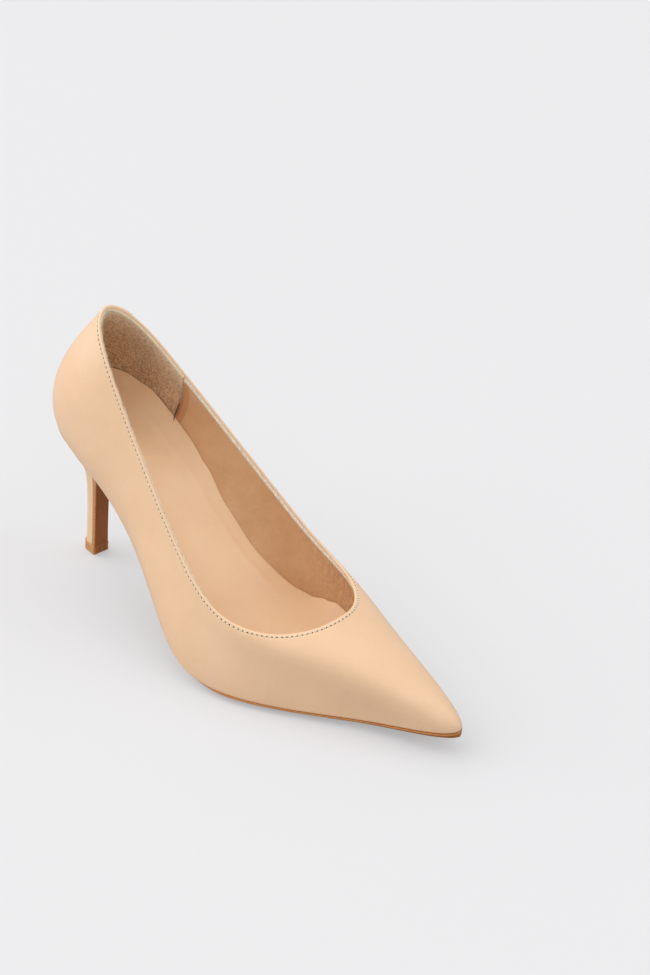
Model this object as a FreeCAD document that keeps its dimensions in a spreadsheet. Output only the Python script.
import FreeCAD, Part
import math
import os
import Sketcher
from FreeCAD import Vector

# High heel pump, right shoe, built up layer by layer from upper to heel hardware.
# Frame: +X heel to toe, +Y medial side, +Z up.  The origin is the centre of the
# ground face under the heel.  Millimetres.
#
# A place on the upper is given by two fractions and a depth:
#   turn   once round the shoe: 0 toe, 0.25 lateral, 0.5 heel, 0.75 medial
#   rise   0 at the feather edge (bottom), 1 at the topline
#   depth  inwards from the outer surface
# Bottom layers use a height measured square to the feather plane.

doc = FreeCAD.newDocument("pump")

# ------------------------------------------------------------------ sizes
sheet = doc.addObject("Spreadsheet::Sheet", "Sizes")
SIZES = [
    ("upper_thick", 1.2),        # outer leather
    ("layer_start", 1.25),       # depth where the hidden stiffeners start
    ("stiffener_thick", 0.7),    # toe puff, counter and interlining
    ("tape_thick", 0.35),        # topline tape
    ("lining_start", 2.0),       # depth where the lining starts
    ("lining_thick", 0.9),
    ("margin_width", 12.0),      # leather turned under the insole
    ("insole_thick", 1.9),
    ("shank_board_thick", 1.4),
    ("foam_heel", 3.4),
    ("foam_fore", 1.4),
    ("sock_thick", 1.1),
    ("sole_thick_fore", 3.1),
    ("sole_thick_waist", 1.7),
    ("sole_edge_thick", 1.2),
    ("flap_thick", 1.3),
    ("rand_thick", 0.8),
    ("cover_thick", 0.8),
    ("seat_level", 81.0),        # seat plane height above the origin
    ("seat_slope", 0.44),        # drop of the seat plane per mm forward
    ("grip_seam", 0.396),        # turn where the heel grip meets the vamp lining
    ("seam_lean", 0.020),        # forward lean of that seam at the topline
    ("tip_height", 5.2),         # top piece, the block on the ground
    ("tip_half_width", 4.9),
    ("tip_front", 5.65),
    ("tip_back", 5.4),
    ("tip_yaw", -6.0),
    ("tip_edge_round", 0.5),
    ("socket_floor", 1.5),       # top piece left below the pin socket
    ("pin_radius", 1.5),
    ("pin_up", 14.0),
    ("pin_bevel", 0.5),
    ("tube_radius", 2.3),
    ("tube_bore", 1.55),
    ("tube_low", 5.6),
    ("tube_high", 50.0),
    ("tube_fit", 0.03),
    ("screw_radius", 2.0),
    ("screw_point", 3.0),
    ("screw_head_radius", 4.0),
    ("screw_head_bevel", 0.6),
    ("screw_head_thick", 1.4),
    ("screw_head_trim", 0.2),    # taken off the head thickness
    ("screw_under_head", 19.0),
    ("nail_radius", 0.8),
    ("nail_point", 2.5),
    ("nail_head_radius", 2.0),
    ("nail_head_thick", 0.7),
    ("nail_under_head", 13.0),
    ("brad_radius", 0.45),
    ("brad_level", 2.9),
    ("rivet_radius", 1.5),
    ("rivet_head_radius", 2.8),
    ("rivet_head_thick", 0.5),
    ("shank_width", 12.0),
    ("shank_thick", 1.3),
    ("thread_width", 0.6),
    ("thread_thick", 0.4),
    ("gap", 0.05),               # air between neighbouring layers
    ("bore_fit", 0.03),          # radial play of holes in the heel and top piece
    ("board_fit", 0.05),         # radial play of holes in the insole and shank
    ("head_room", 0.3),          # radial room round heads in the shank board
    ("head_lift", 0.02),         # heads stand this far off their seat
    ("drill_over", 0.5),         # bores in the heel run this far past the part
]
for row, (name, value) in enumerate(SIZES, start=1):
    sheet.set("A%d" % row, name)
    sheet.set("B%d" % row, str(value))
    sheet.setAlias("B%d" % row, name)
doc.recompute()


def size(name):
    return float(sheet.get(name))


gap = size("gap")
margin_width = size("margin_width")
seat_slope = size("seat_slope")
tip_yaw = size("tip_yaw")
tip_height = size("tip_height")
tip_front = size("tip_front")
drill_over = size("drill_over")
head_lift = size("head_lift")
head_room = size("head_room")
board_fit = size("board_fit")
bore_fit = size("bore_fit")

# depths of the wall layers
layer_start = size("layer_start")
stiffener_end = layer_start + size("stiffener_thick")
lining_start = size("lining_start")
lining_end = lining_start + size("lining_thick")

# heights of the bottom layers above the feather plane
upper_thick = size("upper_thick")
lining_low = upper_thick + gap
lining_high = lining_low + size("lining_thick")
insole_low = lining_high + gap
insole_high = insole_low + size("insole_thick")
board_low = insole_high + gap
board_high = board_low + size("shank_board_thick")


# ---------------------------------------------------------------- helpers
def clamp(x):
    return max(0.0, min(1.0, x))


def smooth_step(x, start, end):
    share = clamp((x - start) / (end - start))
    return share * share * (3 - 2 * share)


def spread(first, last, count):
    return [first + (last - first) * i / (count - 1) for i in range(count)]


def unit(vector):
    result = Vector(vector)
    result.normalize()
    return result


def yawed(vector, degrees):
    cosine, sine = math.cos(math.radians(degrees)), math.sin(math.radians(degrees))
    return Vector(cosine * vector.x - sine * vector.y,
                  sine * vector.x + cosine * vector.y, vector.z)


# ------------------------------------------------------- form of the upper
# One row per station round the shoe: toe, lateral side, heel, medial side.
# Each row: feather edge, lower handle, upper handle, topline.
FORM = [
    ((241.4, 13.3, 13.3), (243.5, 12.8, 24.4), (193.6, 4.5, 37.2), (166.8, 5.5, 44.4)),
    ((235.9, 5.5, 12.3), (236.3, 3.6, 23.1), (186.8, -10.1, 37.4), (165.5, -3.4, 43.2)),
    ((218.8, -0.3, 8.8), (218.6, -0.2, 18.7), (174.0, -21.9, 37.2), (161.0, -13.2, 41.1)),
    ((197.6, -7.8, 5.6), (197.2, -6.4, 15.5), (159.2, -31.6, 35.9), (152.0, -23.2, 39.0)),
    ((175.4, -21.5, 4.0), (175.2, -20.0, 13.9), (142.4, -37.5, 34.9), (139.2, -30.9, 38.8)),
    ((152.2, -35.7, 3.7), (152.7, -34.4, 14.3), (124.0, -39.8, 34.7), (123.1, -35.5, 41.5)),
    ((127.4, -45.4, 3.5), (128.5, -45.4, 16.9), (107.0, -37.4, 39.0), (106.6, -35.2, 50.7)),
    ((104.0, -45.8, 8.6), (104.0, -47.4, 25.2), (87.3, -35.5, 49.0), (88.3, -31.9, 65.6)),
    ((80.7, -36.9, 27.9), (79.1, -41.0, 44.7), (66.3, -31.2, 64.3), (68.3, -27.3, 83.4)),
    ((57.9, -29.2, 48.1), (56.5, -34.7, 64.5), (48.6, -27.6, 81.7), (50.2, -23.1, 100.4)),
    ((35.6, -28.0, 65.3), (35.0, -34.0, 80.2), (32.8, -25.0, 99.2), (34.1, -19.4, 117.3)),
    ((12.8, -27.2, 75.4), (12.3, -33.3, 91.8), (16.7, -23.2, 116.2), (19.1, -15.5, 133.7)),
    ((-11.2, -23.6, 85.9), (-13.7, -28.8, 102.3), (-1.5, -17.6, 127.7), (7.2, -9.0, 144.6)),
    ((-28.5, 0.0, 93.5), (-33.7, 0.0, 110.6), (-12.9, 0.0, 132.1), (2.8, 0.0, 148.7)),
    ((-12.1, 23.9, 86.3), (-13.9, 28.7, 102.7), (-1.2, 18.4, 128.8), (7.8, 9.0, 145.6)),
    ((11.6, 25.9, 75.9), (12.2, 31.9, 92.6), (18.2, 24.4, 117.7), (20.8, 15.9, 135.1)),
    ((34.5, 23.6, 65.8), (35.1, 30.2, 81.2), (35.7, 27.4, 101.5), (36.8, 21.0, 119.6)),
    ((57.1, 19.8, 51.8), (57.4, 28.3, 67.6), (52.5, 31.4, 85.3), (53.2, 26.2, 103.9)),
    ((80.1, 19.9, 32.2), (77.7, 29.4, 49.9), (69.7, 36.0, 68.2), (71.5, 31.2, 86.8)),
    ((103.5, 33.5, 10.5), (101.7, 37.6, 28.0), (89.4, 40.6, 53.1), (91.2, 36.1, 69.5)),
    ((126.6, 44.3, 3.7), (127.5, 44.7, 20.0), (109.2, 44.1, 42.2), (109.5, 40.0, 53.9)),
    ((151.1, 43.3, 3.7), (152.5, 42.3, 17.5), (126.5, 46.7, 38.2), (126.2, 41.6, 44.5)),
    ((174.2, 34.9, 4.5), (174.9, 33.6, 17.2), (145.2, 46.3, 37.4), (141.9, 38.4, 41.0)),
    ((196.6, 26.0, 6.3), (196.9, 24.8, 18.6), (162.6, 41.7, 38.8), (154.2, 30.7, 40.9)),
    ((218.1, 21.5, 9.3), (218.2, 21.3, 21.0), (176.4, 34.6, 39.0), (161.8, 21.4, 42.2)),
    ((235.6, 19.6, 12.5), (235.8, 20.7, 23.2), (186.3, 24.6, 38.8), (165.9, 13.5, 43.8)),
]


def ring(column, turn):
    # closed uniform cubic B-spline through one column of the form
    place = (turn * len(FORM)) % len(FORM)
    first = int(math.floor(place))
    part = place - first
    weights = ((1 - part) ** 3 / 6,
               (3 * part ** 3 - 6 * part * part + 4) / 6,
               (-3 * part ** 3 + 3 * part * part + 3 * part + 1) / 6,
               part ** 3 / 6)
    point = Vector(0, 0, 0)
    for j, weight in enumerate(weights):
        point += Vector(*FORM[(first + j - 1) % len(FORM)][column]) * weight
    return point


def feather(turn):
    return ring(0, turn)


def skin(turn, rise):
    # outer surface: a Bezier curve up the wall at every turn
    rest = 1 - rise
    return (feather(turn) * rest ** 3 + ring(1, turn) * (3 * rise * rest * rest)
            + ring(2, turn) * (3 * rise * rise * rest) + ring(3, turn) * rise ** 3)


def skin_normal(turn, rise):
    # points out of the shoe
    delta = 0.0015
    along = skin(turn + delta, rise) - skin(turn - delta, rise)
    upward = skin(turn, min(1.0, rise + delta)) - skin(turn, max(0.0, rise - delta))
    return unit(upward.cross(along))


def wall(turn, rise, depth):
    return skin(turn, rise) - skin_normal(turn, rise) * depth


def topline_rise(turn, distance):
    # rise at a given distance below the topline
    return 1.0 - distance / ((ring(3, turn) - ring(2, turn)).Length * 3.0)


# --------------------------------------------------- underside of the upper
MID_STEPS = 120
SEAT_END = 16.0                  # the seat plane reaches forward to this x
TOE_SPRING = 0.15                # slope carried on beyond the toe
MIDLINE = [(feather(0.5 * i / MID_STEPS) + feather(1 - 0.5 * i / MID_STEPS)) * 0.5
           for i in range(MID_STEPS + 1)]
SEAT_UP = unit(Vector(seat_slope, 0, 1))     # normal of the heel seat plane


def seat_z(x):
    return size("seat_level") - seat_slope * x


def seat_point(x, y, height):
    return Vector(x, y, seat_z(x)) + SEAT_UP * height


def mid_z(x):
    # height of the feather line along the middle of the shoe
    if x >= MIDLINE[0].x:
        return MIDLINE[0].z + (x - MIDLINE[0].x) * TOE_SPRING
    if x > SEAT_END:
        for ahead, behind in zip(MIDLINE, MIDLINE[1:]):
            if behind.x <= x <= ahead.x:
                share = (x - behind.x) / (ahead.x - behind.x)
                return behind.z + (ahead.z - behind.z) * share
    return seat_z(x)


def mid_y(x):
    return min(MIDLINE, key=lambda point: abs(point.x - x)).y


def mid_x(turn):
    return 0.5 * (feather(turn).x + feather(1 - turn).x)


def under_normal(x):
    delta = 1.5
    slope = (mid_z(x + delta) - mid_z(x - delta)) / (2 * delta)
    return unit(Vector(-slope, 0, 1))


def inward(turn):
    # plan direction into the shoe from the feather edge
    before, after = feather(turn - 0.002), feather(turn + 0.002)
    return unit(Vector(after.y - before.y, before.x - after.x, 0))


def moved_in(foot, x, y, height):
    # a feather point moved to x, y along the underside, then raised
    return Vector(x, y, foot.z + mid_z(x) - mid_z(foot.x)) + under_normal(x) * height


def edge(turn, inset, height):
    foot = feather(turn)
    place = foot + inward(turn) * inset
    return moved_in(foot, place.x, place.y, height)


# plan line that the turned-under leather points at
MARGIN_AXIS = (Vector(0, 0, 0), Vector(226, 13.2, 0))
MARGIN_REACH = 0.55              # most it may cover of the way to that line


def margin(turn, height, width=margin_width):
    # inner end of the leather turned under the insole
    foot = feather(turn)
    plan = Vector(foot.x, foot.y, 0)
    start, end = MARGIN_AXIS
    axis = end - start
    nearest = start + axis * clamp((plan - start).dot(axis) / axis.dot(axis))
    reach = nearest - plan
    limit = reach.Length * MARGIN_REACH
    place = plan + reach * (width * limit / math.sqrt(width ** 2 + limit ** 2) / reach.Length)
    return moved_in(foot, place.x, place.y, height)


def wall_at(turn, height, depth):
    # point on the wall at a depth whose height above the feather edge is given
    foot = feather(turn)
    normal = under_normal(foot.x)
    low, high = 0.0, 0.9
    for _ in range(26):
        middle = 0.5 * (low + high)
        if (wall(turn, middle, depth) - foot).dot(normal) < height:
            low = middle
        else:
            high = middle
    return wall(turn, 0.5 * (low + high), depth)


# ------------------------------------------------------ splines and solids
def basis_value(i, degree, x, knots):
    if degree == 0:
        return 1.0 if knots[i] <= x < knots[i + 1] else 0.0
    total = 0.0
    if knots[i + degree] > knots[i]:
        total += ((x - knots[i]) / (knots[i + degree] - knots[i])
                  * basis_value(i, degree - 1, x, knots))
    if knots[i + degree + 1] > knots[i + 1]:
        total += ((knots[i + degree + 1] - x) / (knots[i + degree + 1] - knots[i + 1])
                  * basis_value(i + 1, degree - 1, x, knots))
    return total


def inverted(matrix):
    # Gauss-Jordan elimination with the unit matrix written alongside
    count = len(matrix)
    rows = [list(line) + [1.0 if i == j else 0.0 for j in range(count)]
            for i, line in enumerate(matrix)]
    for j in range(count):
        pivot = max(range(j, count), key=lambda i: abs(rows[i][j]))
        rows[j], rows[pivot] = rows[pivot], rows[j]
        lead = rows[j][j]
        rows[j] = [value / lead for value in rows[j]]
        for i in range(count):
            factor = rows[i][j]
            if i != j and factor:
                rows[i] = [mine - factor * other for mine, other in zip(rows[i], rows[j])]
    return [line[count:] for line in rows]


def spline_matrix(count):
    # turns data points into the poles of a clamped cubic with free ends
    knots = [0.0] * 3 + [float(i) for i in range(count)] + [float(count - 1)] * 3
    poles = count + 2

    def straight_end(first):
        # the second difference of three end poles is zero
        line = [0.0] * poles
        before = 3.0 / (knots[first + 4] - knots[first + 1])
        after = 3.0 / (knots[first + 5] - knots[first + 2])
        line[first:first + 3] = [before, -before - after, after]
        return line

    inner = [[basis_value(j, 3, min(float(i), count - 1 - 1e-9), knots) for j in range(poles)]
             for i in range(count)]
    return inverted([straight_end(0)] + inner + [straight_end(poles - 3)])


spline_matrices = {}


def open_poles(data):
    count = len(data)
    if count not in spline_matrices:
        spline_matrices[count] = spline_matrix(count)
    poles = []
    for line in spline_matrices[count]:
        pole = Vector(0, 0, 0)
        for weight, point in zip(line[1:], data):
            pole += point * weight
        poles.append(pole)
    poles[0], poles[-1] = Vector(data[0]), Vector(data[-1])
    return poles


def ring_poles(data):
    # poles of the closed cubic, by repeated correction
    count = len(data)
    poles = [Vector(point) for point in data]
    for _ in range(60):
        for j in range(count):
            poles[j] = (data[j] * 6.0 - poles[j - 1] - poles[(j + 1) % count]) * 0.25
    return poles


def clamped_knots(count, degree):
    # multiplicities and knots
    return [degree + 1] + [1] * (count - 2) + [degree + 1], [float(i) for i in range(count)]


def surface(rows, closed=False, smooth=False):
    # cubic along each row; smooth means cubic across the rows too, else straight
    columns = [list(column) for column in
               zip(*[ring_poles(row) if closed else open_poles(row) for row in rows])]
    if smooth:
        columns = [open_poles(column) for column in columns]
    degree = 3 if smooth else 1
    across_mults, across_knots = clamped_knots(len(rows), degree)
    count = len(rows[0])
    if closed:
        mults, knots = [1] * (count + 1), [float(i) for i in range(count + 1)]
    else:
        mults, knots = clamped_knots(count, 3)
    sheet_surface = Part.BSplineSurface()
    sheet_surface.buildFromPolesMultsKnots(columns, mults, across_mults, knots, across_knots,
                                           closed, False, 3, degree)
    return sheet_surface.toShape()


def quad(corner_a, corner_b, corner_c, corner_d):
    patch = Part.BSplineSurface()
    patch.buildFromPolesMultsKnots([[corner_a, corner_b], [corner_d, corner_c]],
                                   [2, 2], [2, 2], [0, 1], [0, 1], False, False, 1, 1)
    return patch.toShape()


def solid_of(faces):
    shell = Part.makeShell(faces)
    # sewing may refuse a shell; its faces are then used as they are
    try:
        shell.sewShape()
    except Exception:
        pass
    if shell.ShapeType != "Shell":
        shell = shell.Shells[0]
    solid = Part.makeSolid(shell)
    if solid.Volume < 0:
        solid.reverse()
    solid.fix(1e-4, 1e-5, 1e-3)
    return solid if solid.ShapeType == "Solid" else solid.Solids[0]


def single(shape):
    # the bare solid where a boolean left just one
    return shape.Solids[0] if len(shape.Solids) == 1 else shape


def slab(rows_a, rows_b, closed=False, smooth=True):
    # solid between two grids of points with the same layout
    faces = [surface(rows_a, closed, smooth), surface(rows_b, closed, smooth),
             surface([rows_a[0], rows_b[0]], closed),
             surface([rows_a[-1], rows_b[-1]], closed)]
    if not closed:
        for end in (0, -1):
            side_a = [row[end] for row in rows_a]
            side_b = [row[end] for row in rows_b]
            if smooth:
                faces.append(surface([side_a, side_b]))
            else:
                for i in range(len(side_a) - 1):
                    faces.append(quad(side_a[i], side_a[i + 1], side_b[i + 1], side_b[i]))
    return solid_of(faces)


# ------------------------------------------------ wall layers with a margin
WALL_LEVELS = [0.0, 0.1, 0.22, 0.36, 0.5, 0.64, 0.78, 0.9, 1.0]
LINING_TOP = 0.985               # rise of the lining's top edge
SEAM_GAP = 0.0015                # turn between the vamp lining and the heel grip
grip_seam = size("grip_seam")


def leaned(turn, rise):
    # the seam between lining and heel grip leans forward towards the topline
    lean = size("seam_lean") * smooth_step(rise, 0.06, 1.0)
    if grip_seam + 0.0005 < turn < 1 - grip_seam - 0.0005:
        from_toe = min(turn, 1 - turn)
        shift = lean * (1 - smooth_step(from_toe, grip_seam + SEAM_GAP, 0.495))
        return turn - shift if turn < 0.5 else turn + shift
    return turn - math.copysign(lean * smooth_step(abs(turn), 0.27, grip_seam), turn)


def lasted(turns, depths, heights, top=1.0, lean=False):
    # wall layer with its margin turned under the insole
    def layer(depth, height):
        rows = [[edge(turn, depth, height) for turn in turns]]
        for level in WALL_LEVELS[1:]:
            rise = level * top
            rows.append([wall(leaned(turn, rise) if lean else turn, rise, depth)
                         for turn in turns])
        return rows

    outer, inner = [layer(depth, height) for depth, height in zip(depths, heights)]
    outer_margin, inner_margin = [[margin(turn, height) for turn in turns]
                                  for height in heights]
    faces = [surface(outer, smooth=True), surface(inner, smooth=True),
             surface([outer[-1], inner[-1]]),
             surface([outer[0], outer_margin]), surface([inner[0], inner_margin]),
             surface([outer_margin, inner_margin])]
    for end in (0, -1):
        faces.append(surface([[row[end] for row in outer], [row[end] for row in inner]]))
        faces.append(quad(outer[0][end], outer_margin[end], inner_margin[end], inner[0][end]))
    return solid_of(faces)


def lining(turns):
    return lasted(turns, (lining_start, lining_end), (lining_low, lining_high),
                  LINING_TOP, lean=True)


def vamp_lining():
    return lining(spread(-grip_seam, grip_seam, 61))


def heel_grip():
    return lining(spread(grip_seam + SEAM_GAP, 1 - grip_seam - SEAM_GAP, 25))


# ------------------------------------------------------ upper and back tab
# The lateral end of the leather laps over the back seam as a rounded tab.
TAB_START, TAB_ROUND, TAB_END = 0.486, 0.512, 0.5515     # turns
TAB_DROP = 0.152                 # rise covered by the tab
TAB_TOP = 0.998


def tab_ramp(turn):
    # how far the leather is lifted over the back seam
    turn = turn % 1.0
    return smooth_step(turn, TAB_START, 0.5) * clamp((0.56 - turn) / 0.006)


def tab_root(turn):
    # 0 where the tab grows out of the lateral leather, 1 where it lies on the medial side
    return smooth_step(turn, 0.4895, 0.4975)


def tab_drop(turn):
    if turn <= TAB_ROUND:
        return TAB_DROP
    share = (turn - TAB_ROUND) / (TAB_END - TAB_ROUND + 0.0015)
    return TAB_DROP * math.sqrt(max(0.0, 1 - share * share))


def back_tab():
    turns = spread(TAB_START, TAB_END, 27)
    outer, inner = [], []
    for share in spread(0.0, 1.0, 6):
        rises = [TAB_TOP - (tab_drop(turn) - 0.002) * (1 - share) for turn in turns]
        outer.append([wall(turn, rise, 0.18 - 1.18 * tab_ramp(turn))
                      for turn, rise in zip(turns, rises)])
        inner.append([wall(turn, rise, 0.7 - 0.75 * tab_root(turn))
                      for turn, rise in zip(turns, rises)])
    return slab(outer, inner)


def upper_leather():
    upper = lasted(spread(-0.4998, 0.4998, 105), (0.0, upper_thick), (0.0, upper_thick))
    fused = upper.fuse(back_tab())
    # the tab is only taken where it joins into one sound solid
    if len(fused.Solids) == 1 and fused.isValid():
        upper = fused.Solids[0]
    return upper


# -------------------------------------------------------- hidden stiffeners
# label: first turn, last turn, points, low rise, high rise, rows
STIFFENERS = {
    "toe_puff": (-0.13, 0.13, 27, 0.07, 0.6, 6),
    "heel_counter": (0.366, 0.634, 29, 0.06, 0.72, 7),
    "lateral_interlining": (0.135, 0.362, 25, 0.07, 0.84, 7),
    "medial_interlining": (0.638, 0.865, 25, 0.07, 0.84, 7),
}


def stiffener(first, last, points, low, high, rows):
    turns = spread(first, last, points)
    return slab(*[[[wall(turn, rise, depth) for turn in turns]
                   for rise in spread(low, high, rows)]
                  for depth in (layer_start, stiffener_end)])


def topline_tape():
    turns = [i / 78.0 for i in range(78)]
    distances = [6.0, 4.3, 2.6, 0.9]         # rows below the topline
    depths = (layer_start, layer_start + size("tape_thick"))
    return slab(*[[[wall(turn, topline_rise(turn, distance), depth) for turn in turns]
                   for distance in distances] for depth in depths], closed=True)


# ---------------------------------------------------------------- stitching
thread_width = size("thread_width")
thread_thick = size("thread_thick")
STITCH_BELOW_TOP = 1.9
STITCH_TAB_LIFT = 1.03           # topline thread riding over the tab
TAB_THREAD_LIFT = 1.02           # thread lying on the tab


def topline_stitching():
    turns = [i / 312.0 for i in range(312)]
    lines = (STITCH_BELOW_TOP + thread_width / 2, STITCH_BELOW_TOP - thread_width / 2)
    return slab(*[[[wall(turn, topline_rise(turn, line), -lift - STITCH_TAB_LIFT * tab_ramp(turn))
                    for turn in turns] for line in lines]
                  for lift in (gap, gap + thread_thick)], closed=True, smooth=False)


def back_tab_stitching():
    # thread round the free edge of the back tab, a bent arc of 80 degrees
    sweep = math.radians(80)
    path = []
    for angle in spread(0.0, sweep, 25):
        fall = (math.cos(angle) - math.cos(sweep)) / (1 - math.cos(sweep))
        path.append((0.497 + (0.5415 - 0.497) * math.sin(angle) / math.sin(sweep),
                     1 - 0.126 * (0.27 + 0.73 * fall)))
    low, high = [[], []], [[], []]
    for i, place in enumerate(path):
        tangent = skin(*path[min(len(path) - 1, i + 1)]) - skin(*path[max(0, i - 1)])
        normal = skin_normal(*place)
        sideways = unit(normal.cross(tangent))
        for k, side in enumerate((-1, 1)):
            point = skin(*place) + sideways * (side * thread_width / 2)
            low[k].append(point + normal * (TAB_THREAD_LIFT + gap))
            high[k].append(point + normal * (TAB_THREAD_LIFT + gap + thread_thick))
    return slab(low, high, smooth=False)


# ----------------------------------------------------------- bottom layers
# fixings through the seat: x, y on the seat plane; rivets by x on the shank line
SCREW = (-7.5, 0.0)
NAILS = [(-4.5, 9.5), (-4.5, -9.5), (9.0, 11.0), (9.0, -11.0)]
RIVETS = (12.0, 74.0)
SHANK_ENDS = (1.5, 108.0)
SHANK_LIFT = 0.2                 # underside of the shank above the feather plane
RIVET_FOOT = 0.5
rivet_radius = size("rivet_radius")


def board(turns, place, low, high):
    # flat layer spanning from the lateral to the medial side
    sides = (turns, [1 - turn for turn in turns])
    return slab(*[[[place(turn, height) for turn in side] for side in sides]
                  for height in (low, high)], smooth=False)


def peg(spot, low, high, radius):
    # cylinder square to the seat plane
    return Part.makeCylinder(radius, high - low, seat_point(*spot, low), SEAT_UP)


def shank_line(x):
    # point and normal on the line of the shank
    return Vector(x, mid_y(x) * clamp(x / 5.0), mid_z(x)), under_normal(x)


def rivet_hole(x):
    point, normal = shank_line(x)
    return Part.makeCylinder(rivet_radius + board_fit, 9, point - normal * 2, normal)


def insole_board():
    inset = lining_end + 0.1
    shape = board(spread(0.008, 0.492, 61),
                  lambda turn, height: edge(turn, inset, height), insole_low, insole_high)
    shape = shape.cut(peg(SCREW, -3, 8, size("screw_radius") + board_fit))
    for nail in NAILS:
        shape = shape.cut(peg(nail, -3, 8, size("nail_radius") + board_fit))
    for x in RIVETS:
        shape = shape.cut(rivet_hole(x))
    return single(shape)


def shank_board():
    # stiff board over the waist, cut out round the heads of the fixings
    shape = board(spread(0.285, 0.468, 33),
                  lambda turn, height: edge(turn, 7.0, height), board_low, board_high)
    shape = shape.cut(peg(SCREW, 3, 8, size("screw_head_radius") + head_room))
    for nail in NAILS:
        shape = shape.cut(peg(nail, 3, 8, size("nail_head_radius") + head_room))
    for x in RIVETS:
        point, normal = shank_line(x)
        shape = shape.cut(Part.makeCylinder(size("rivet_head_radius") + head_room, 6,
                                            point + normal * (insole_low + 0.5), normal))
    return single(shape)


def steel_shank():
    # spring steel strip with a raised rib, narrower towards the front
    low, high = [], []
    for share in spread(-1.0, 1.0, 5):
        rib = 0.4 * (1 - share * share) ** 2
        low_row, high_row = [], []
        for x in spread(*SHANK_ENDS, 30):
            point, normal = shank_line(x)
            half_width = size("shank_width") / 2 * (1 - 0.25 * (x / SHANK_ENDS[1]) ** 2)
            point += Vector(0, share * half_width, 0)
            low_row.append(point + normal * (SHANK_LIFT + rib))
            high_row.append(point + normal * (SHANK_LIFT + rib + size("shank_thick")))
        low.append(low_row)
        high.append(high_row)
    shape = slab(low, high)
    for x in RIVETS:
        shape = shape.cut(rivet_hole(x))
    return single(shape)


def shank_rivets():
    rivets = []
    for x in RIVETS:
        point, normal = shank_line(x)
        seat = insole_high + head_lift
        shaft = Part.makeCylinder(rivet_radius, seat - RIVET_FOOT,
                                  point + normal * RIVET_FOOT, normal)
        head = Part.makeCylinder(size("rivet_head_radius"), size("rivet_head_thick"),
                                 point + normal * seat, normal)
        rivets.append(shaft.fuse(head))
    return Part.makeCompound(rivets)


def bottom_filler():
    # fills the forepart between the turned-under margins
    return board(spread(0.05, 0.245, 31),
                 lambda turn, height: margin(turn, height, margin_width + 0.8),
                 gap, lining_high)


# ---------------------------------------------------------- cushioned sock
# x, height of the sock's rim above the feather edge
SOCK_RIM = [
    (-20, 11.5), (0, 15.5), (14, 18.0), (29, 17.0), (42, 15.5), (56, 13.0), (72, 9.6),
    (92, 7.5), (110, 7.3), (120, 8.2), (131, 11.2), (140, 13.2), (150, 12.0),
    (166, 8.4), (225, 6.4)]
SOCK_SHARES = [0.0, 0.05, 0.12, 0.25, 0.5, 0.75, 0.88, 0.95, 1.0]    # lateral to medial
SOCK_TURNS = spread(0.018, 0.484, 61)


def rim_height(x):
    if x <= SOCK_RIM[0][0]:
        return SOCK_RIM[0][1]
    for (x_a, height_a), (x_b, height_b) in zip(SOCK_RIM, SOCK_RIM[1:]):
        if x <= x_b:
            return height_a + (height_b - height_a) * smooth_step(x, x_a, x_b)
    return SOCK_RIM[-1][1]


def foam_floor(x):
    return board_high + gap - (board_high - insole_high) * smooth_step(x, 92, 112)


def foam_top(x):
    extra = size("foam_heel") - size("foam_fore")
    return foam_floor(x) + size("foam_fore") + extra * (1 - smooth_step(x, 30, 100))


def sock_rows(lift):
    # underside of the sock leather, raised by lift along its local normal
    rows = [[] for _ in SOCK_SHARES]
    for turn in SOCK_TURNS:
        x = mid_x(turn)
        rim = max(rim_height(x), foam_top(x) + 0.3)
        dip = rim - (foam_top(x) + gap)
        lateral = wall_at(turn, rim, lining_end + 0.12)
        across = wall_at(1 - turn, rim, lining_end + 0.12) - lateral
        normal = under_normal(x)
        for row, share in zip(rows, SOCK_SHARES):
            off_centre = abs(2 * share - 1)
            point = lateral + across * share - normal * (dip * (1 - off_centre ** 4))
            direction = normal
            if share not in (0.0, 1.0):
                slope = math.copysign(dip * 8 * off_centre ** 3 / across.Length, share - 0.5)
                direction = unit(normal - unit(across) * slope)
            row.append(point + direction * lift)
    return rows


def sock_leather():
    return slab(sock_rows(0.0), sock_rows(size("sock_thick")))


def sock_foam():
    top = [[point - under_normal(point.x) * gap for point in row] for row in sock_rows(0.0)]
    floor = [[] for _ in SOCK_SHARES]
    for turn in SOCK_TURNS:
        height = foam_floor(mid_x(turn))
        lateral = edge(turn, lining_end + 0.15, height)
        medial = edge(1 - turn, lining_end + 0.15, height)
        for row, share in zip(floor, SOCK_SHARES):
            row.append(lateral + (medial - lateral) * share)
    return slab(floor, top)


# -------------------------------------------------------------------- heel
HEEL_FOOT = tip_height + gap
HEEL_TOP = -(size("rand_thick") + 2 * gap)   # heel top below the feather plane
# z front, z back, half width, front x, back x, share of the top piece's yaw
HEEL_LEVELS = [
    (HEEL_FOOT, HEEL_FOOT, 3.78, 4.2, -3.5, 1.0),
    (17.0, 17.0, 3.68, 4.1, -3.4, 1.0),
    (29.0, 29.0, 3.70, 4.1, -3.5, 1.0),
    (40.0, 41.0, 3.95, 4.3, -4.2, 1.0),
    (49.0, 52.0, 5.1, 5.1, -6.4, 0.85),
    (56.5, 62.0, 8.2, 7.6, -10.4, 0.6),
    (62.5, 70.8, 13.2, 11.2, -14.8, 0.35),
    (67.6, 78.8, 18.8, 14.9, -18.6, 0.15),
]
HEEL_POINTS = 25
BREAST_TURN = 0.4085             # breast corner on the feather edge
COVER_FIT = 0.03
cover_thick = size("cover_thick")


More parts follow.
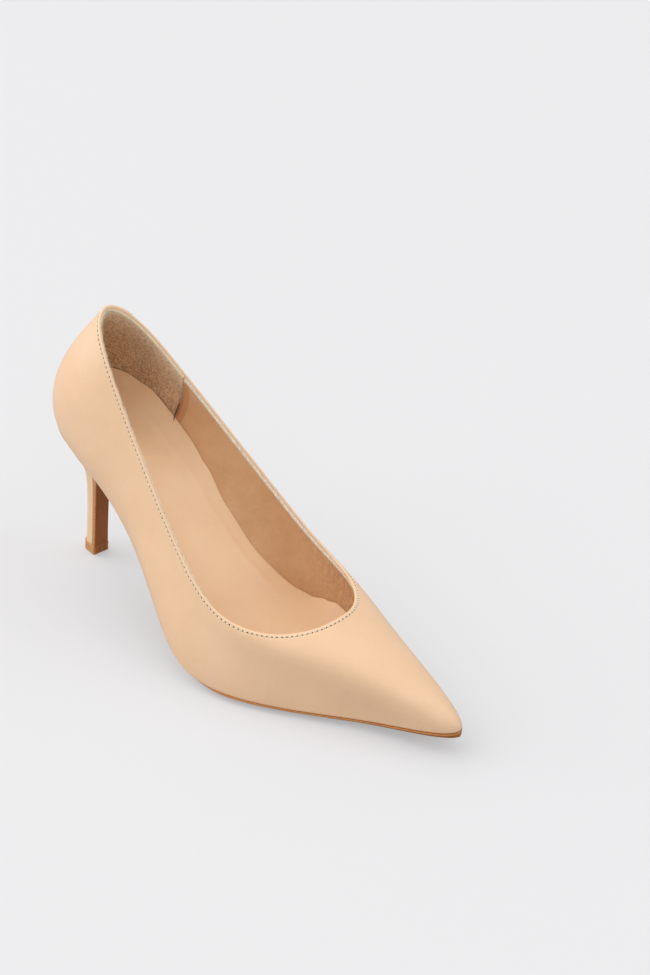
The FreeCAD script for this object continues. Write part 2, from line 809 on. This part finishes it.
def level_curve(z_front, z_back, half_width, front, back, yaw_share):
    # straight sides and a round back, from the lateral to the medial front corner
    centre = min(front - 0.5, back + half_width * (1.0 if half_width < 7 else 0.95))
    straight = front - centre
    arc = math.pi * 0.5 * (half_width + (centre - back))
    total = 2 * straight + arc
    points = []
    for distance in spread(0.0, total, HEEL_POINTS):
        if distance < straight:
            x, y = front - distance, -half_width
        elif distance > total - straight:
            x, y = front - (total - distance), half_width
        else:
            angle = math.pi * (distance - straight) / arc
            x = centre - (centre - back) * math.sin(angle)
            y = -half_width * math.cos(angle)
        z = z_front + (z_back - z_front) * (front - x) / (front - back)
        points.append(yawed(Vector(x, y, z), tip_yaw * yaw_share))
    return points


def seat_curve(inset):
    points = []
    for turn in spread(BREAST_TURN, 1 - BREAST_TURN, HEEL_POINTS):
        place = feather(turn) + inward(turn) * inset
        points.append(seat_point(place.x, place.y, 0) + Vector(0, 0, HEEL_TOP / SEAT_UP.z))
    return points


CORE_ROWS = [level_curve(*level) for level in HEEL_LEVELS] + [seat_curve(cover_thick + 0.35)]


def grown(distance):
    # the core's rows moved outwards; the end rows stay in their planes
    last_row, last_point = len(CORE_ROWS) - 1, HEEL_POINTS - 1
    rows = []
    for k, row in enumerate(CORE_ROWS):
        moved = []
        for i, point in enumerate(row):
            along = row[min(last_point, i + 1)] - row[max(0, i - 1)]
            upward = CORE_ROWS[min(last_row, k + 1)][i] - CORE_ROWS[max(0, k - 1)][i]
            normal = unit(along.cross(upward))
            if k == 0:
                normal = unit(Vector(normal.x, normal.y, 0))
            if k == last_row:
                normal = unit(normal - SEAT_UP * normal.dot(SEAT_UP))
            if normal.dot(Vector(point.x, point.y, 0)) < 0 and 0 < i < last_point:
                normal = normal * -1.0
            moved.append(point + normal * distance)
        rows.append(moved)
    return rows


def cap(row):
    curve = Part.BSplineCurve()
    mults, knots = clamped_knots(len(row), 3)
    curve.buildFromPolesMultsKnots(open_poles(row), mults, knots, False, 3)
    return Part.Face(Part.Wire([curve.toShape(), Part.makeLine(row[-1], row[0])]))


def heel_core():
    side = surface(CORE_ROWS, smooth=True)
    front = surface([[row[0] for row in CORE_ROWS], [row[-1] for row in CORE_ROWS]])
    core = solid_of([side, front, cap(CORE_ROWS[0]), cap(CORE_ROWS[-1])])
    core = core.cut(Part.makeCylinder(size("tube_radius") + size("tube_fit"),
                                      size("tube_high") - tip_height + 2 * drill_over,
                                      Vector(0, 0, tip_height - drill_over)))
    screw_end = insole_high - size("screw_under_head") - drill_over
    core = core.cut(peg(SCREW, screw_end, 4, size("screw_radius") + bore_fit))
    nail_end = insole_high - size("nail_under_head") - drill_over
    for nail in NAILS:
        core = core.cut(peg(nail, nail_end, 4, size("nail_radius") + bore_fit))
    return single(core)


def heel_cover():
    return slab(grown(COVER_FIT), grown(COVER_FIT + cover_thick))


def heel_rand():
    # thin strip between the upper and the heel, open at the front
    turns = spread(BREAST_TURN, 1 - BREAST_TURN, 27)
    return slab(*[[[edge(turn, inset, height) for turn in turns] for inset in (0.3, 7.0)]
                  for height in (-gap - size("rand_thick"), -gap)], smooth=False)


# ----------------------------------------------------------------- outsole
SOLE_SHARES = [-1.0, -0.93, -0.8, -0.55, 0.0, 0.55, 0.8, 0.93, 1.0]  # lateral to medial
SOLE_UNDERCUT = 0.35
# The flap turns down at the breast line and follows the heel front.
# x, z, half width, relative thickness, share of the top piece's yaw
FLAP = [
    (28.6, 67.6, 23.6, 1.55, 0.0), (25.4, 69.1, 23.4, 1.45, 0.0),
    (22.4, 70.25, 22.8, 1.4, 0.0), (19.7, 70.4, 22.0, 1.35, 0.0),
    (17.9, 68.9, 20.9, 1.3, 0.1), (16.6, 67.0, 19.2, 1.2, 0.15),
    (13.1, 62.6, 13.9, 1.15, 0.35), (9.2, 56.6, 9.0, 1.1, 0.6),
    (6.45, 49.9, 5.95, 1.1, 0.85), (5.15, 44.5, 5.0, 1.1, 1.0),
    (4.6, 38.5, 4.62, 1.1, 1.0), (4.35, 31.0, 4.45, 1.1, 1.0),
    (4.3, 23.0, 4.4, 1.1, 1.0), (4.32, 14.0, 4.4, 1.1, 1.0),
    (4.4, HEEL_FOOT, 4.5, 1.1, 1.0)]
FLAP_UNIT = 1.1                  # relative thickness that equals flap_thick
FLAP_EDGE = 0.92                 # edge thickness as a share of the middle


def sole_thick(x):
    waist, ball = size("sole_thick_waist"), min(4.2, mid_z(x) + 0.25)
    return (waist + (ball - waist) * smooth_step(x, 88, 124)
            + (size("sole_thick_fore") - ball) * smooth_step(x, 172, 205))


def sole_edge(turn):
    # the sole edge shows at the forepart and is tucked under at the waist
    inset = -0.35 + 2.95 * (1 - smooth_step(feather(turn).x, 98, 140))
    return edge(turn, inset, -gap)


def flap_stations():
    last = len(FLAP) - 1
    for i, (x, z, half_width, thickness, yaw_share) in enumerate(FLAP):
        before, after = FLAP[max(0, i - 1)], FLAP[min(last, i + 1)]
        tangent = unit(Vector(after[0] - before[0], 0, after[1] - before[1]))
        normal = Vector(tangent.z, 0, -tangent.x)
        if i == 0:
            normal = under_normal(x)
        if i == last:
            normal = Vector(-1, 0, 0)
        centre = mid_y(x) * smooth_step(x, 14, 30)
        yaw = tip_yaw * yaw_share
        middle_thick = thickness * size("flap_thick") / FLAP_UNIT
        yield (yawed(Vector(x, centre - half_width, z), yaw),
               yawed(Vector(x, centre + half_width, z), yaw),
               yawed(normal, yaw), middle_thick, middle_thick * FLAP_EDGE)


def outsole():
    # stations: lateral point, medial point, normal, middle and edge thickness
    stations = []
    for turn in spread(0.0105, 0.3870, 52):
        lateral, medial = sole_edge(turn), sole_edge(1 - turn)
        x = 0.5 * (lateral.x + medial.x)
        stations.append((lateral, medial, under_normal(x), sole_thick(x),
                         size("sole_edge_thick")))
    stations += flap_stations()
    top = [[] for _ in SOLE_SHARES]
    bottom = [[] for _ in SOLE_SHARES]
    for lateral, medial, normal, middle_thick, edge_thick in stations:
        for k, share in enumerate(SOLE_SHARES):
            point = lateral + (medial - lateral) * ((share + 1) / 2)
            thickness = edge_thick + (middle_thick - edge_thick) * (1 - abs(share) ** 5)
            top[k].append(point)
            if abs(share) == 1.0:
                point = point + unit((lateral + medial) * 0.5 - point) * SOLE_UNDERCUT
            bottom[k].append(point - normal * thickness)
    # nothing reaches below the ground
    ground = Part.makeBox(400, 200, 20, Vector(-60, -100, -20))
    return single(slab(top, bottom).cut(ground))


# ------------------------------------------------- nails and brad, revolved
UPRIGHT_TO_SEAT = FreeCAD.Rotation(Vector(0, 0, 1), SEAT_UP)
BRAD_LENGTH = 3.2


def seat_placement(spot):
    # under a head resting on the insole, axis square to the seat
    return FreeCAD.Placement(seat_point(*spot, insole_high + head_lift), UPRIGHT_TO_SEAT)


def heel_nails():
    radius, head_radius = size("nail_radius"), size("nail_head_radius")
    length, head_thick = size("nail_under_head"), size("nail_head_thick")
    profile = [Vector(0, 0, -length), Vector(radius, 0, -length + size("nail_point")),
               Vector(radius, 0, 0), Vector(head_radius, 0, 0),
               Vector(head_radius, 0, head_thick), Vector(0, 0, head_thick)]
    nails = []
    for spot in NAILS:
        face = Part.Face(Part.makePolygon(profile + [profile[0]]))
        nail = face.revolve(Vector(0, 0, 0), Vector(0, 0, 1), 360)
        nail.Placement = seat_placement(spot)
        nails.append(nail)
    return Part.makeCompound(nails)


def breast_brad():
    # small brad in the front of the top piece
    radius = size("brad_radius")
    forward = yawed(Vector(1, 0, 0), tip_yaw)
    level = Vector(0, 0, size("brad_level"))
    head_at = tip_front + head_lift
    shaft = Part.makeCylinder(radius, BRAD_LENGTH,
                              forward * (head_at - BRAD_LENGTH) + level, forward)
    return shaft.fuse(Part.makeCylinder(radius + 0.25, 0.3, forward * head_at + level, forward))


# ------------------------------------------------------ document features
parts = {}


def add_feature(label, shape):
    part = doc.addObject("Part::Feature", label)
    part.Label = label
    part.Shape = shape
    parts[label] = part


for label, measures in STIFFENERS.items():
    add_feature(label, stiffener(*measures))
# each label is the name of the function that builds the piece
for build in (upper_leather, vamp_lining, heel_grip, topline_tape, topline_stitching,
              back_tab_stitching, insole_board, shank_board, steel_shank, shank_rivets,
              bottom_filler, sock_leather, sock_foam, heel_core, heel_cover, heel_rand,
              outsole, heel_nails, breast_brad):
    add_feature(build.__name__, build())

# ------------------------------------------------- heel hardware, PartDesign
Constraint = Sketcher.Constraint
START, END, CENTRE = 1, 2, 3     # points of a sketch element
ORIGIN = (-1, 1)
H_AXIS, V_AXIS = -1, -2


def new_body(label, placement):
    body = doc.addObject("PartDesign::Body", label)
    body.Label = label
    body.Placement = placement
    parts[label] = body
    return body


def new_sketch(body, name, role):
    sketch = body.newObject("Sketcher::SketchObject", name)
    plane = [item for item in body.Origin.OriginFeatures if item.Role == role][0]
    sketch.AttachmentSupport = [(plane, "")]
    sketch.MapMode = "FlatFace"
    return sketch


def bind(sketch, name, constraint, expression):
    index = sketch.addConstraint(constraint)
    sketch.renameConstraint(index, name)
    sketch.setExpression("Constraints." + name, expression)


def add_line(sketch, start, end):
    sketch.addGeometry(Part.LineSegment(Vector(*start, 0), Vector(*end, 0)), False)


def draw_tip_outline(sketch):
    # D shape: flat front, straight sides, round back
    half_width = size("tip_half_width")
    add_line(sketch, (tip_front, -half_width), (tip_front, half_width))
    add_line(sketch, (tip_front, half_width), (0, half_width))
    circle = Part.Circle(Vector(0, 0, 0), Vector(0, 0, 1), half_width)
    sketch.addGeometry(Part.ArcOfCircle(circle, math.pi / 2, 3 * math.pi / 2), False)
    add_line(sketch, (0, -half_width), (tip_front, -half_width))
    sketch.addConstraint(Constraint("Coincident", 0, END, 1, START))
    sketch.addConstraint(Constraint("Tangent", 1, END, 2, START))
    sketch.addConstraint(Constraint("Tangent", 2, END, 3, START))
    sketch.addConstraint(Constraint("Coincident", 3, END, 0, START))
    sketch.addConstraint(Constraint("Vertical", 0))
    sketch.addConstraint(Constraint("Horizontal", 1))
    sketch.addConstraint(Constraint("Horizontal", 3))
    sketch.addConstraint(Constraint("PointOnObject", 2, CENTRE, H_AXIS))
    bind(sketch, "half_width", Constraint("Radius", 2, half_width), "Sizes.tip_half_width")
    bind(sketch, "front", Constraint("DistanceX", *ORIGIN, 0, START, tip_front),
         "Sizes.tip_front")
    # the arc centre lies behind the origin
    bind(sketch, "back", Constraint("DistanceX", 2, CENTRE, *ORIGIN, 0.01),
         "Sizes.tip_back - Sizes.tip_half_width + 0.01")


def make_top_piece():
    # block on the ground with a socket for the pin and a hole at brad level
    body = new_body("top_piece", FreeCAD.Placement(
        Vector(0, 0, 0), FreeCAD.Rotation(Vector(0, 0, 1), tip_yaw)))
    outline = new_sketch(body, "tip_outline", "XY_Plane")
    draw_tip_outline(outline)
    block = body.newObject("PartDesign::Pad", "tip_block")
    block.Profile = outline
    block.setExpression("Length", "Sizes.tip_height")
    doc.recompute()

    circle = new_sketch(body, "pin_socket_outline", "XY_Plane")
    circle.setExpression("AttachmentOffset.Base.z", "Sizes.tip_height")
    radius = size("pin_radius") + bore_fit
    circle.addGeometry(Part.Circle(Vector(0, 0, 0), Vector(0, 0, 1), radius), False)
    circle.addConstraint(Constraint("Coincident", 0, CENTRE, *ORIGIN))
    bind(circle, "socket", Constraint("Radius", 0, radius), "Sizes.pin_radius + Sizes.bore_fit")
    socket = body.newObject("PartDesign::Pocket", "pin_socket")
    socket.Profile = circle
    socket.setExpression("Length", "Sizes.tip_height - Sizes.socket_floor")
    doc.recompute()

    # the two upright edges at the front
    corners = []
    for i, line in enumerate(socket.Shape.Edges, start=1):
        box = line.BoundBox
        upright = box.ZMax - box.ZMin > tip_height - 0.1
        if upright and abs(line.Vertexes[0].Point.x - tip_front) < 0.01:
            corners.append("Edge%d" % i)
    rounding = body.newObject("PartDesign::Fillet", "front_corners")
    rounding.Base = (socket, corners)
    rounding.setExpression("Radius", "Sizes.tip_edge_round")
    doc.recompute()

    circle = new_sketch(body, "brad_hole_outline", "YZ_Plane")
    level, radius = size("brad_level"), size("brad_radius") + bore_fit
    circle.addGeometry(Part.Circle(Vector(0, level, 0), Vector(0, 0, 1), radius), False)
    circle.addConstraint(Constraint("PointOnObject", 0, CENTRE, V_AXIS))
    bind(circle, "brad_level", Constraint("DistanceY", *ORIGIN, 0, CENTRE, level),
         "Sizes.brad_level")
    bind(circle, "brad_size", Constraint("Radius", 0, radius),
         "Sizes.brad_radius + Sizes.bore_fit")
    doc.recompute()
    hole = body.newObject("PartDesign::Pocket", "brad_hole")
    hole.Profile = circle
    hole.setExpression("Length", "Sizes.tip_front + 1")
    doc.recompute()
    body.Tip = hole


def make_turned_body(label, placement, profile):
    # profile: closed, one (radius, height) per point, each as (value, expression);
    # no expression means the point lies on the axis or on the base line
    body = new_body(label, placement)
    sketch = new_sketch(body, label + "_profile", "XZ_Plane")
    points = [(radius[0], height[0]) for radius, height in profile]
    count = len(points)
    for i in range(count):
        add_line(sketch, points[i], points[(i + 1) % count])
    for i in range(count):
        sketch.addConstraint(Constraint("Coincident", i, END, (i + 1) % count, START))
    for i, point in enumerate(profile):
        for (value, expression), name, kind, axis in zip(
                point, ("r%d_out", "z%d_up"), ("DistanceX", "DistanceY"), (V_AXIS, H_AXIS)):
            if expression is None:
                sketch.addConstraint(Constraint("PointOnObject", i, START, axis))
            else:
                bind(sketch, name % i, Constraint(kind, *ORIGIN, i, START, value), expression)
    turned = body.newObject("PartDesign::Revolution", label + "_turned")
    turned.Profile = sketch
    turned.ReferenceAxis = (sketch, ["V_Axis"])
    turned.Angle = 360
    doc.recompute()


ZERO = (0, None)


def make_pin():
    # steel dowel moulded into the top piece and pressed up into the tube
    radius, bevel = size("pin_radius"), size("pin_bevel")
    length = tip_height + size("pin_up")
    wide = (radius, "Sizes.pin_radius")
    top = (length, "Sizes.tip_height + Sizes.pin_up")
    base = Vector(0, 0, size("socket_floor") + gap)
    make_turned_body("top_piece_pin", FreeCAD.Placement(base, FreeCAD.Rotation()), [
        (ZERO, ZERO),
        (wide, ZERO),
        (wide, (length - bevel, "Sizes.tip_height + Sizes.pin_up - Sizes.pin_bevel")),
        ((radius - bevel, "Sizes.pin_radius - Sizes.pin_bevel"), top),
        (ZERO, top)])


def make_screw():
    # pan head on the insole, pointed shaft into the heel
    length, head_radius = size("screw_under_head"), size("screw_head_radius")
    wide = (size("screw_radius"), "Sizes.screw_radius")
    top = (size("screw_head_thick") - size("screw_head_trim"),
           "Sizes.screw_head_thick - Sizes.screw_head_trim")
    make_turned_body("heel_screw", seat_placement(SCREW), [
        (ZERO, (-length, "-Sizes.screw_under_head")),
        (wide, (-length + size("screw_point"), "-Sizes.screw_under_head + Sizes.screw_point")),
        (wide, ZERO),
        ((head_radius, "Sizes.screw_head_radius"), ZERO),
        ((head_radius - size("screw_head_bevel"),
          "Sizes.screw_head_radius - Sizes.screw_head_bevel"), top),
        (ZERO, top)])


def make_tube():
    # steel tube inside the heel stem
    outer = doc.addObject("Part::Cylinder", "tube_outer")
    outer.setExpression("Radius", "Sizes.tube_radius")
    outer.setExpression("Height", "Sizes.tube_high - Sizes.tube_low")
    inner = doc.addObject("Part::Cylinder", "tube_inner")
    inner.setExpression("Radius", "Sizes.tube_bore")
    inner.setExpression("Height", "Sizes.tube_high - Sizes.tube_low + 4")
    inner.Placement = FreeCAD.Placement(Vector(0, 0, -2), FreeCAD.Rotation())
    tube = doc.addObject("Part::Cut", "heel_tube")
    tube.Label = "heel_tube"
    tube.Base = outer
    tube.Tool = inner
    tube.Placement = FreeCAD.Placement(Vector(0, 0, size("tube_low")), FreeCAD.Rotation())
    parts["heel_tube"] = tube


make_top_piece()
make_pin()
make_tube()
make_screw()

# --------------------------------------------------------------- write out
doc.recompute()
bad = [item.Name + " " + str(item.State) for item in doc.Objects
       if "Invalid" in item.State or "Error" in item.State]
for label, part in parts.items():
    if part.Shape.isNull() or not part.Shape.isValid() or not part.Shape.Solids:
        bad.append(label + " shape")
assert not bad, bad

os.makedirs("parts", exist_ok=True)
for label in sorted(parts):
    shape = parts[label].Shape
    if shape.ShapeType != "Solid":
        shape = single(shape)
    shape.exportStep("parts/%s.step" % label)
